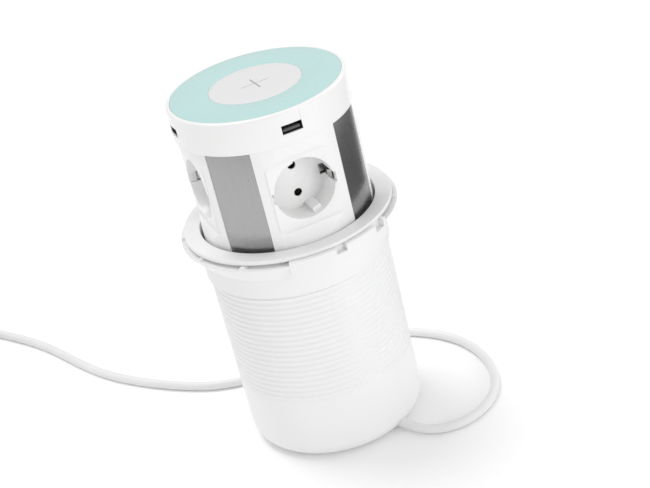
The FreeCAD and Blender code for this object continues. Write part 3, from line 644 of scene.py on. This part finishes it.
# ---- clamp nut -------------------------------------------------------------------------
NUT_R, NUT_BORE_R, NUT_TOP = 72.0, 60.6, mm_box("clamp_nut")[1].z
NUT_LIP_Z0, NUT_LIP_Z1, LUG_Z0 = 155.4, 157.0, 148.0
COLLAR_R, COLLAR_Z0, COLLAR_Z1 = 62.0, mm_box("clamp_nut")[0].z, 143.5
WASHER_T, WASHER_R0, WASHER_R1 = 0.55, 61.4, 64.7
RIB_INNER_R, POCKET_R = 64.9, 65.5
NUT_LUGS = ((-21.0, 38.5), (160.0, 219.0))
NUT_RIBS = (-46.0, -75.0, -105.0, 62.0, 89.0, 116.0, 140.0)
NUT_NOTCHES = ((3.5, 9.3, 154.8), (29.3, 36.3, 154.0), (184.5, 190.3, 154.8),
               (209.3, 216.0, 154.0))


def gusset(azimuth, half_foot, half_top):
    """Rib across a pocket, wide at its foot and narrow at its top."""
    bm = bmesh.new()
    ends = []
    for outer, half, z in ((NUT_R - 0.5, half_foot, NUT_LIP_Z1 - 0.4),
                           (NUT_R - 0.9, half_top, NUT_TOP - 0.12)):
        corners = ((RIB_INNER_R, -1), (outer, -1), (outer, 1), (RIB_INNER_R, 1))
        ends.append([bm.verts.new(polar(r, azimuth + s * half, z)) for r, s in corners])
    a, b = ends
    bm.faces.new(a)
    bm.faces.new(b)
    for k in range(4):
        n = (k + 1) % 4
        bm.faces.new([a[k], a[n], b[n], b[k]])
    return solid(bm)


def clamp_nut():
    """Round nut: sloped collar, rim with two lugs, and pockets with ribs between the lugs."""
    seat = NUT_TOP - WASHER_T - 0.1
    nut = lathe([(NUT_BORE_R, COLLAR_Z0), (COLLAR_R - 0.5, COLLAR_Z0), (COLLAR_R, COLLAR_Z0 + 0.5),
                 (COLLAR_R, COLLAR_Z1), (NUT_R - 0.4, NUT_LIP_Z0), (NUT_R, NUT_LIP_Z0 + 0.4),
                 (NUT_R, NUT_TOP - 0.4), (NUT_R - 0.4, NUT_TOP), (FLANGE_R + 0.5, NUT_TOP),
                 (FLANGE_R + 0.3, NUT_TOP + 0.2), (FLANGE_R + 0.08, NUT_TOP + 0.2),
                 (FLANGE_R + 0.08, seat), (NUT_BORE_R, seat)])
    first, second = NUT_LUGS
    pockets = [hoop(POCKET_R, NUT_R + 1, NUT_LIP_Z1, NUT_TOP + 1, az0, az1 - az0)
               for az0, az1 in ((first[1], second[0]), (second[1], first[0] + 360))]
    lugs = [hoop(COLLAR_R - 0.3, NUT_R - 0.02, LUG_Z0, NUT_TOP - 2.0, az0, az1 - az0)
            for az0, az1 in NUT_LUGS]
    ribs = [gusset(a, 2.4 if a == NUT_RIBS[0] else 1.5, 0.7) for a in NUT_RIBS]
    notches = [hoop(NUT_R - 4.0, NUT_R + 1, floor, NUT_TOP + 1, az0, az1 - az0)
               for az0, az1, floor in NUT_NOTCHES]
    cut(nut, *pockets)
    joined(nut, *lugs, *ribs)
    return eased(cut(nut, *notches), 0.35)


piece("ribbed_nut", clamp_nut(), "clamp_nut")
piece("washer_ring", hoop(WASHER_R0, WASHER_R1, NUT_TOP - WASHER_T, NUT_TOP), "slip_washer")


# ---- head: cap and charging top --------------------------------------------------------
CAP_R, CAP_WALL, CAP_EDGE_R = 57.9, 2.3, 1.8
CAP_Z0 = mm_box("top_cap")[0].z
PLATE_R, PAD_R, PLATE_T, DECK_T = 55.05, 30.0, 2.5, 2.4
DECK_TOP = TOTAL_H - PLATE_T
DECK_Z0 = DECK_TOP - DECK_T
USB_Z, USB_W, USB_H, USB_LEN, USB_SHEET = 238.65, 13.0, 5.5, 13.6, 0.35
SEAM_AZ, SEAM_HALF, SEAM_DEPTH = 6.45, 0.07, 0.25
CAP_SCREW_R = 48.0


def top_cap():
    """Cap with its USB windows, one seam and the posts for its screws."""
    outline = [(0.0, DECK_Z0), (CAP_R - CAP_WALL, DECK_Z0), (CAP_R - CAP_WALL, CAP_Z0 + 0.3),
               (CAP_R - CAP_WALL + 0.3, CAP_Z0)]
    outline += arc(CAP_R - 0.35, CAP_Z0 + 0.35, 0.35, -90, 0, 3)
    outline += arc(CAP_R - CAP_EDGE_R, TOTAL_H - CAP_EDGE_R, CAP_EDGE_R, 0, 90, 10)
    outline += arc(PLATE_R + 0.3, TOTAL_H - 0.3, 0.3, 90, 180, 3)
    outline += [(PLATE_R, DECK_TOP), (0.0, DECK_TOP)]
    cap = lathe(outline, steps=320)
    w, h = USB_W / 2 + 0.15, USB_H / 2 + 0.15
    windows = [turned(block(-w, w, -CAP_R - 1, -50.0, USB_Z - h, USB_Z + h), a)
               for a in SIDES.values()]
    seam = turned(block(-SEAM_HALF, SEAM_HALF, -CAP_R - 1, -CAP_R + SEAM_DEPTH,
                        USB_Z + h, TOTAL_H + 1), SEAM_AZ)
    bosses = [hoop(BOSS_BORE_R, 3.3, CAP_Z0 + 0.1, DECK_Z0 + 0.02, steps=48,
                   middle=polar(CAP_SCREW_R, a)[:2]) for a in CORNERS]
    return grouped(cut(cap, *windows, seam), *bosses)


def plus_bars(grow=0.0):
    """Long thin bar crossed by a shorter, wider one."""
    z0, z1 = TOTAL_H - 0.4 - grow, TOTAL_H + grow
    bars = joined(block(-9.6 - grow, 9.6 + grow, -0.2 - grow, 0.2 + grow, z0, z1),
                  block(-0.34 - grow, 0.34 + grow, -8.4 - grow, 8.4 + grow, z0, z1))
    return turned(bars, 3.0)


def charging_pad():
    """Disc with its upper edge rounded and a bed for the plus mark."""
    outline = [(0.0, DECK_TOP), (PAD_R, DECK_TOP)]
    outline += arc(PAD_R - 0.25, TOTAL_H - 0.25, 0.25, 0, 90, 3)
    pad = lathe(outline + [(20.0, TOTAL_H), (0.0, TOTAL_H)])
    return cut(pad, plus_bars(0.03))


def mint_ring():
    """Ring round the pad with both upper edges rounded."""
    outline = [(PAD_R + 0.08, DECK_TOP), (PLATE_R - 0.1, DECK_TOP)]
    outline += arc(PLATE_R - 0.35, TOTAL_H - 0.25, 0.25, 0, 90, 3)
    outline += arc(PAD_R + 0.33, TOTAL_H - 0.25, 0.25, 90, 180, 3)
    return lathe(outline)


piece("cap_shell", top_cap(), "top_cap")
piece("mint_ring", mint_ring(), "charging_ring")
piece("charging_disc", charging_pad(), "charging_pad")
piece("plus_inlay", plus_bars(), "pad_plus_mark")


# ---- head: casing ----------------------------------------------------------------------
BODY_R, BODY_WALL = 56.6, 2.6
BODY_Z0 = mm_box("head_skirt")[0].z
FACE_D, FACE_Z0, FACE_Z1, FACE_HALF, FACE_T = 52.7, 171.0, 217.6, 22.0, 2.6
LEDGE_RISE = 7.2
SOCKET_Z, RECESS_R, RECESS_DEPTH, CUP_WALL = 195.7, 20.0, 17.3, 1.6
PIN_PITCH, PIN_HOLE_R = 19.0, 2.7
RIB_DEPTH, RIB_TURN, EAR_HALF, EAR_NOTCH_X, CLIP_HALF = 3.2, 18.0, 3.5, 21.2, 2.5
PANEL_HALF_AZ, PANEL_R0, PANEL_R1, PANEL_Z0 = 15.6, 55.4, 56.25, 145.0
CUP_FLOOR = FACE_D - RECESS_DEPTH
CUP_BACK = CUP_FLOOR - 1.5


def face_cutter(azimuth):
    """What is cut away outside one flat socket face, with a sloped crescent above and below."""
    out = BODY_R + 6.0
    rise = LEDGE_RISE * (out - FACE_D) / (BODY_R - FACE_D)
    outline = [(-30, -FACE_D, FACE_Z0), (-30, -out, FACE_Z0 - rise), (-30, -out, FACE_Z1 + rise),
               (-30, -FACE_D, FACE_Z1)]
    return turned(prism(outline, (60, 0, 0)), azimuth)


def socket_opening(gap, y0, y1):
    """The round-cornered shape of a face plate, grown by a gap."""
    return pill(-FACE_HALF - gap, FACE_HALF + gap, y0, y1, FACE_Z0 - gap, FACE_Z1 + gap, 4.0)


def head_housing():
    """Casing with four flat faces and openings for the sockets, and beds for the panels."""
    inner = BODY_R - BODY_WALL
    deck = CAP_Z0 - BODY_WALL
    shell = lathe([(inner, BODY_Z0), (BODY_R - 0.4, BODY_Z0), (BODY_R, BODY_Z0 + 0.4),
                   (BODY_R, CAP_Z0), (8.0, CAP_Z0), (8.0, deck), (inner - 2.6, deck),
                   (inner - 2.6, 156.5), (inner, 154.5)], steps=320)
    cut(shell, *[face_cutter(a) for a in SIDES.values()])
    cut(shell, *[turned(socket_opening(0.03, -BODY_R - 1, -46.0), a) for a in SIDES.values()])
    spread_az = PANEL_HALF_AZ + 0.22
    cut(shell, *[hoop(PANEL_R0 - 0.1, BODY_R + 1, PANEL_Z0 - 0.2, CAP_Z0 + 1,
                      a - spread_az, 2 * spread_az) for a in PANELS.values()])
    return eased(shell, 0.12)


def steel_panel(azimuth):
    panel = hoop(PANEL_R0, PANEL_R1, PANEL_Z0, CAP_Z0 - 0.2,
                 azimuth - PANEL_HALF_AZ, 2 * PANEL_HALF_AZ, 480)
    return eased(panel, 0.2)


piece("head_shell", head_housing(), "head_skirt", "head_columns", "head_crown")
for side, azimuth in PANELS.items():
    piece("panel_" + side, steel_panel(azimuth), "steel_panel_" + side)


# ---- head: sockets ---------------------------------------------------------------------
def guide_rib(half_turn):
    """Raised guide on the recess wall, below or above, that keys the plug's groove."""
    rib = block(-3.0, 3.0, -FACE_D + 4.0, -CUP_FLOOR + 0.3, -RECESS_R - 0.8, RIB_DEPTH - RECESS_R)
    rib.data.transform(Matrix.Rotation(math.radians(half_turn - RIB_TURN), 4, "Y"))
    return moved(rib, 0, 0, SOCKET_Z)


def socket_cup():
    """Face plate and round recess of one earthed socket, facing -Y."""
    plate = socket_opening(0.0, -FACE_D, -FACE_D + FACE_T)
    wall = rod(RECESS_R + CUP_WALL, -FACE_D + FACE_T - 0.1, -CUP_BACK, SOCKET_Z, 128)
    cup = joined(plate, wall)
    cut(cup, rod(RECESS_R, -FACE_D - 2, -CUP_FLOOR, SOCKET_Z, 128))
    joined(cup, guide_rib(0), guide_rib(180))
    holes = [rod(PIN_HOLE_R, -CUP_FLOOR - 2, -CUP_BACK + 2, SOCKET_Z + dz)
             for dz in (-PIN_PITCH / 2, PIN_PITCH / 2)]
    ears = []
    for side in (-1, 1):
        for reach, front, back in ((24.0, -FACE_D + 5.2, -CUP_BACK + 1.0),
                                   (EAR_NOTCH_X, -FACE_D - 1, -FACE_D + 6)):
            x0, x1 = sorted((side * 16.6, side * reach))
            ears.append(block(x0, x1, front, back, SOCKET_Z - EAR_HALF, SOCKET_Z + EAR_HALF))
    bed = block(-FACE_HALF - 1, FACE_HALF + 1, -CUP_BACK + 0.02, -CUP_BACK + 9, FACE_Z0, FACE_Z1)
    return eased(cut(cup, *holes, *ears, bed), 0.14)


def earth_clip():
    """Spring strap behind a cup, with one bent tip looking into the recess from each side."""
    z0, z1 = SOCKET_Z - CLIP_HALF, SOCKET_Z + CLIP_HALF
    back = CUP_BACK - 0.3
    strap = block(-23.3, 23.3, -back, -back + 1.0, z0, z1)
    tips = []
    for side in (-1, 1):
        outline = [(23.3, back), (23.3, 43.0), (20.6, 46.6), (18.6, 44.6), (18.6, 43.9), (20.4, 45.3),
                   (22.4, 42.6), (22.4, back)]
        tips.append(prism([(side * x, -y, z0) for x, y in outline], (0, 0, z1 - z0)))
    return eased(joined(strap, *tips), 0.15)


cup_form, clip_form = socket_cup(), earth_clip()
for side, azimuth in SIDES.items():
    piece("socket_insert_" + side, turned(copied(cup_form), azimuth), "socket_" + side)
    piece("earth_spring_" + side, turned(copied(clip_form), azimuth), "earth_clip_" + side)
bpy.data.objects.remove(cup_form)
bpy.data.objects.remove(clip_form)


# ---- head: USB outlets -----------------------------------------------------------------
MOUTH = -(CAP_R - 0.9)
BOARD_TOP = 235.6


def usb_shell():
    """Folded shell, open at its mouth, with spring windows and two feet."""
    w, h, t = USB_W / 2, USB_H / 2, USB_SHEET
    shell = cut(block(-w, w, MOUTH, MOUTH + USB_LEN, USB_Z - h, USB_Z + h),
                block(-w + t, w - t, MOUTH - 1, MOUTH + USB_LEN - 1.2, USB_Z - h + t, USB_Z + h - t))
    cut(shell, *[block(x - 1.0, x + 1.0, MOUTH + 2.5, MOUTH + 6.5, USB_Z + h - 1, USB_Z + h + 1)
                 for x in (-3.0, 3.0)])
    springs = [prism([(x, MOUTH + 2.6, USB_Z + h - 0.3), (x, MOUTH + 5.4, USB_Z + h - 0.5),
                      (x, MOUTH + 5.2, USB_Z + h - 0.75), (x, MOUTH + 2.6, USB_Z + h)], (1.5, 0, 0))
               for x in (-3.75, 2.25)]
    feet = [block(x - 0.5, x + 0.5, MOUTH + 6, MOUTH + 8, BOARD_TOP, USB_Z - h + 0.1)
            for x in (-5.6, 5.6)]
    return eased(joined(shell, *feet, *springs), 0.08)


def usb_tongue():
    """Tongue in a USB shell, with four contacts on it."""
    back = MOUTH + USB_LEN - 1.2
    tongue = eased(block(-5.6, 5.6, MOUTH + 1.0, back, USB_Z - 2.0, USB_Z - 0.15), 0.25)
    contacts = [block(x - 0.5, x + 0.5, MOUTH + 1.6, back - 1.0, USB_Z - 0.2, USB_Z - 0.02)
                for x in (-3.5, -1.2, 1.2, 3.5)]
    return grouped(tongue, *contacts)


shell_form = usb_shell()
for side, azimuth in SIDES.items():
    piece("usb_port_" + side, turned(copied(shell_form), azimuth), "usb_shell_" + side)
bpy.data.objects.remove(shell_form)
piece("usb_tongue_set", grouped(*[turned(usb_tongue(), a) for a in SIDES.values()]), "usb_tongues")


# ---- head: base and fasteners ----------------------------------------------------------
BASE_Z0 = mm_box("head_base")[0].z
BASE_R, BASE_RING_R, BASE_BORE_R = 58.0, 53.8, 5.0
BASE_SCREW_R, BASE_SINK, POST_HOLE_R = 50.2, 1.6, 3.9


def head_base():
    """Floor plate of the head, with a ring up into the casing and four screw holes."""
    z0, step, top = BASE_Z0, BODY_Z0, BODY_Z0 + 1.5
    plate = lathe([(BASE_BORE_R, z0), (BASE_R - 0.4, z0), (BASE_R, z0 + 0.4),
                   (BASE_R, step - 0.3), (BASE_R - 0.3, step), (BASE_RING_R, step),
                   (BASE_RING_R, top), (BASE_BORE_R, top)])
    holes = []
    for a in CORNERS:
        spot = polar(BASE_SCREW_R, a)[:2]
        holes += [disc(POST_HOLE_R, step, step + 3, 48, spot),
                  disc(SCREW_HOLE_R, z0 - 1, step + 3, 32, spot),
                  disc(SCREW_SINK_R, z0 - 1, z0 + BASE_SINK, 48, spot)]
    return eased(cut(plate, *holes), 0.2)


piece("head_floor", head_base(), "head_base")
screw_set("head_floor_screws", "head_base_screws", BASE_SCREW_R, CORNERS,
          BASE_Z0 + BASE_SINK, 10.0, 1.5)
screw_set("cap_fixing_screws", "cap_screws", CAP_SCREW_R, CORNERS,
          CAP_Z0 - BODY_WALL - 0.1, 12.0, 2.0)


# ---- inner lead ------------------------------------------------------------------------
def inner_helix():
    """Loose helix of lead between the barrel's floor and the head, as one closed tube."""
    turns, radius, thickness, steps, ring_steps = 9, 32.5, 2.0, 36, 12
    low, high = mm_box("inner_lead")
    z0, z1 = low.z + thickness + 0.1, high.z - thickness - 0.1
    bm = bmesh.new()
    rings = []
    count = turns * steps
    rise = math.atan2((z1 - z0) / turns, 2 * math.pi * radius)
    for k in range(count + 1):
        azimuth = 360.0 * k / steps
        out = polar(1.0, azimuth)
        along_it = polar(1.0, azimuth + 90) * math.cos(rise) + Vector((0, 0, math.sin(rise)))
        side = along_it.cross(out)
        middle = out * radius + Vector((0, 0, z0 + (z1 - z0) * k / count))
        ring = []
        for j in range(ring_steps):
            t = 2 * math.pi * j / ring_steps
            offset = out * (thickness * math.cos(t)) + side * (thickness * math.sin(t))
            ring.append(bm.verts.new(middle + offset))
        rings.append(ring)
    for here, there in zip(rings, rings[1:]):
        for j in range(ring_steps):
            n = (j + 1) % ring_steps
            bm.faces.new([here[j], here[n], there[n], there[j]])
    bm.faces.new(rings[0])
    bm.faces.new(rings[-1])
    return solid(bm)


lead = piece("coiled_lead", inner_helix(), "inner_lead")
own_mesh(lead)


# ---- plug and tie on the cord ----------------------------------------------------------
PLUG_PLACE, PLUG_TURN, PLUG_TILT = Vector((-286.9, 261.6, 10.6)), 275.0, 8.4
RELIEF_LEN, PLUG_LEN, PLUG_PIN = 32.0, 34.0, 19.0
PLUG_END = RELIEF_LEN + PLUG_LEN


def laid(obj):
    """Move what is drawn along +X from the cord's end to where the plug lies."""
    tilt = Matrix.Rotation(math.radians(-PLUG_TILT), 4, "Y")
    turn = Matrix.Rotation(math.radians(PLUG_TURN), 4, "Z")
    obj.data.transform(Matrix.Translation(PLUG_PLACE) @ turn @ tilt)
    return obj


def plug_relief():
    """Slotted sleeve that keeps the cord from bending sharply at the plug."""
    body = along([(0.0, 0.0), (0.0, 3.8), (0.5, 4.05), (RELIEF_LEN, 5.8), (RELIEF_LEN, 0.0)])
    slots = []
    for k in range(6):
        x = 4.0 + 4.4 * k
        slots += [block(x, x + 1.6, -9, 9, 2.9, 9), block(x, x + 1.6, -9, 9, -9, -2.9),
                  block(x + 2.2, x + 3.8, 2.9, 9, -9, 9), block(x + 2.2, x + 3.8, -9, -2.9, -9, 9)]
    return laid(eased(cut(body, *slots), 0.2))


def plug_body():
    """Round plug that narrows to the cord, with side grooves and finger dips."""
    x0, x1 = RELIEF_LEN, PLUG_END
    form = [(x0, 0.0), (x0, 6.6), (x0 + 0.4, 7.0), (x0 + 4.0, 10.5), (x0 + 8.0, 12.4),
            (x0 + 13.0, 13.6), (x0 + 17.0, 15.4), (x0 + 20.0, 17.2), (x0 + 22.0, 18.3),
            (x0 + 23.0, 18.6), (x1 - 0.8, 18.6), (x1, 17.8), (x1, 0.0)]
    body = along(form, 128)
    grooves = []
    for side in (-1, 1):
        y0, y1 = sorted((side * 17.2, side * 20.0))
        z0, z1 = sorted((side * 16.8, side * 20.0))
        grooves += [block(x0 + 16, x1 + 1, y0, y1, -2.6, 2.6),
                    block(x1 - 12, x1 + 1, -2.7, 2.7, z0, z1)]
    dips = []
    for side in (-1, 1):
        for k in range(4):
            start = x0 + 5.0 + 2.2 * k
            y0, y1 = sorted((side * (11.9 + 0.45 * k), side * 20))
            dips.append(block(start, start + 0.9, y0, y1, -6, 6))
    return laid(eased(cut(body, *grooves, *dips), 0.3))


def plug_pins():
    pins = []
    for side in (-1, 1):
        metal = along([(0.0, 0.0), (0.0, 2.4), (PLUG_PIN - 1.4, 2.4), (PLUG_PIN - 0.7, 2.15),
                       (PLUG_PIN - 0.2, 1.5), (PLUG_PIN, 0.8), (PLUG_PIN, 0.0)], 48)
        pins.append(laid(moved(metal, PLUG_END, 0, side * PIN_PITCH / 2)))
    return grouped(*pins)


def plug_earths():
    """Earth strips in the plug's two side grooves."""
    strips = []
    for side in (-1, 1):
        y0, y1 = sorted((side * 17.25, side * 18.3))
        strip = block(PLUG_END - 17.5, PLUG_END - 0.6, y0, y1, -2.3, 2.3)
        strips.append(laid(eased(strip, 0.2)))
    return grouped(*strips)


def coil_tie():
    """Hook-and-loop strap round the turns, with its tail folded along the top."""
    azimuth, width, thick = 30.0, 9.0, 0.9
    low, high = mm_box("cord_coil")
    half, top = width / 2, high.z + 0.1
    r0 = COIL_INNER / MM - LIE / MM - 0.7
    r1 = COIL_OUTER / MM + LIE / MM + 0.3
    strap = cut(block(-half, half, -r1 - thick, -r0 + thick, 0.05, top + thick),
                block(-half - 1, half + 1, -r1, -r0, low.z - 0.05, top))
    tail = block(-half + 0.2, half - 0.2, -r1 + 1.0, -r1 + 13.0,
                 top + thick - 0.05, top + 2 * thick)
    strap = eased(joined(strap, tail), 0.35, 3, 50.0)
    return moved(turned(strap, azimuth), COIL_MIDDLE.x / MM, COIL_MIDDLE.y / MM, 0)


tie = piece("coil_strap", coil_tie(), "cord_tie")
relief = piece("plug_sleeve", plug_relief(), "plug_relief")
plug = piece("mains_plug", plug_body(), "plug_body")
pins = piece("mains_pins", plug_pins(), "plug_pins")
earths = piece("plug_side_contacts", plug_earths(), "plug_earth_strips")

for name, node in NODES.items():
    if not node.hide_render:
        smooth(node)
        wear(node, SLOT_OF[name])


# ---- floor and light -------------------------------------------------------------------
def add_floor():
    """White floor that glows faintly, so that it stays white in the picture."""
    bm = bmesh.new()
    bmesh.ops.create_grid(bm, x_segments=2, y_segments=2, size=6.0)
    floor = solid(bm)
    floor.name = "floor"
    material, tree, main = shader("studio_floor", (0.95, 0.95, 0.95), 0.9)
    main.inputs["Emission Color"].default_value = (1.0, 1.0, 1.0, 1.0)
    main.inputs["Emission Strength"].default_value = 0.04
    main.inputs["Specular IOR Level"].default_value = 0.1
    floor.data.materials.append(material)


def add_dark_card():
    """Dark card low on the right, seen only in the reflections of the steel and the gloss."""
    card = hoop(130.0, 2000.0, 3.5, 4.0, 55.0, 67.0, 96)
    card.data.transform(Matrix.Scale(MM, 4))
    card.name = "dark_card"
    material, tree, main = shader("card_grey", (0.0, 0.0, 0.0), 1.0)
    main.inputs["Emission Color"].default_value = (1.0, 1.0, 1.0, 1.0)
    main.inputs["Emission Strength"].default_value = 0.18
    main.inputs["Specular IOR Level"].default_value = 0.0
    card.data.materials.append(material)
    card.visible_camera = card.visible_diffuse = card.visible_shadow = False
    card.visible_transmission = False


def add_sun(name, azimuth, height, strength, angle):
    """Soft distant light from an azimuth and a height above the floor, both in degrees."""
    data = bpy.data.lights.new(name, "SUN")
    data.energy = strength
    data.angle = math.radians(angle)
    lamp = bpy.data.objects.new(name, data)
    rise = math.radians(height)
    towards = polar(math.cos(rise), azimuth, math.sin(rise))
    lamp.rotation_euler = (-towards).to_track_quat("-Z", "Y").to_euler()
    bpy.context.scene.collection.objects.link(lamp)


def add_world(strength):
    """Even white light from all round."""
    world = bpy.data.worlds.new("studio")
    world.use_nodes = True
    background = world.node_tree.nodes["Background"]
    background.inputs["Color"].default_value = (1.0, 1.0, 1.0, 1.0)
    background.inputs["Strength"].default_value = strength
    bpy.context.scene.world = world


add_floor()
add_dark_card()
add_world(0.66)
add_sun("key", 205.0, 68.0, 1.2, 30.0)
add_sun("front_fill", 28.0, 18.0, 0.66, 30.0)
add_sun("right_fill", 95.0, 20.0, 0.35, 50.0)
add_sun("left_fill", -72.0, 25.0, 0.12, 50.0)
bpy.context.scene.view_settings.view_transform = "Standard"
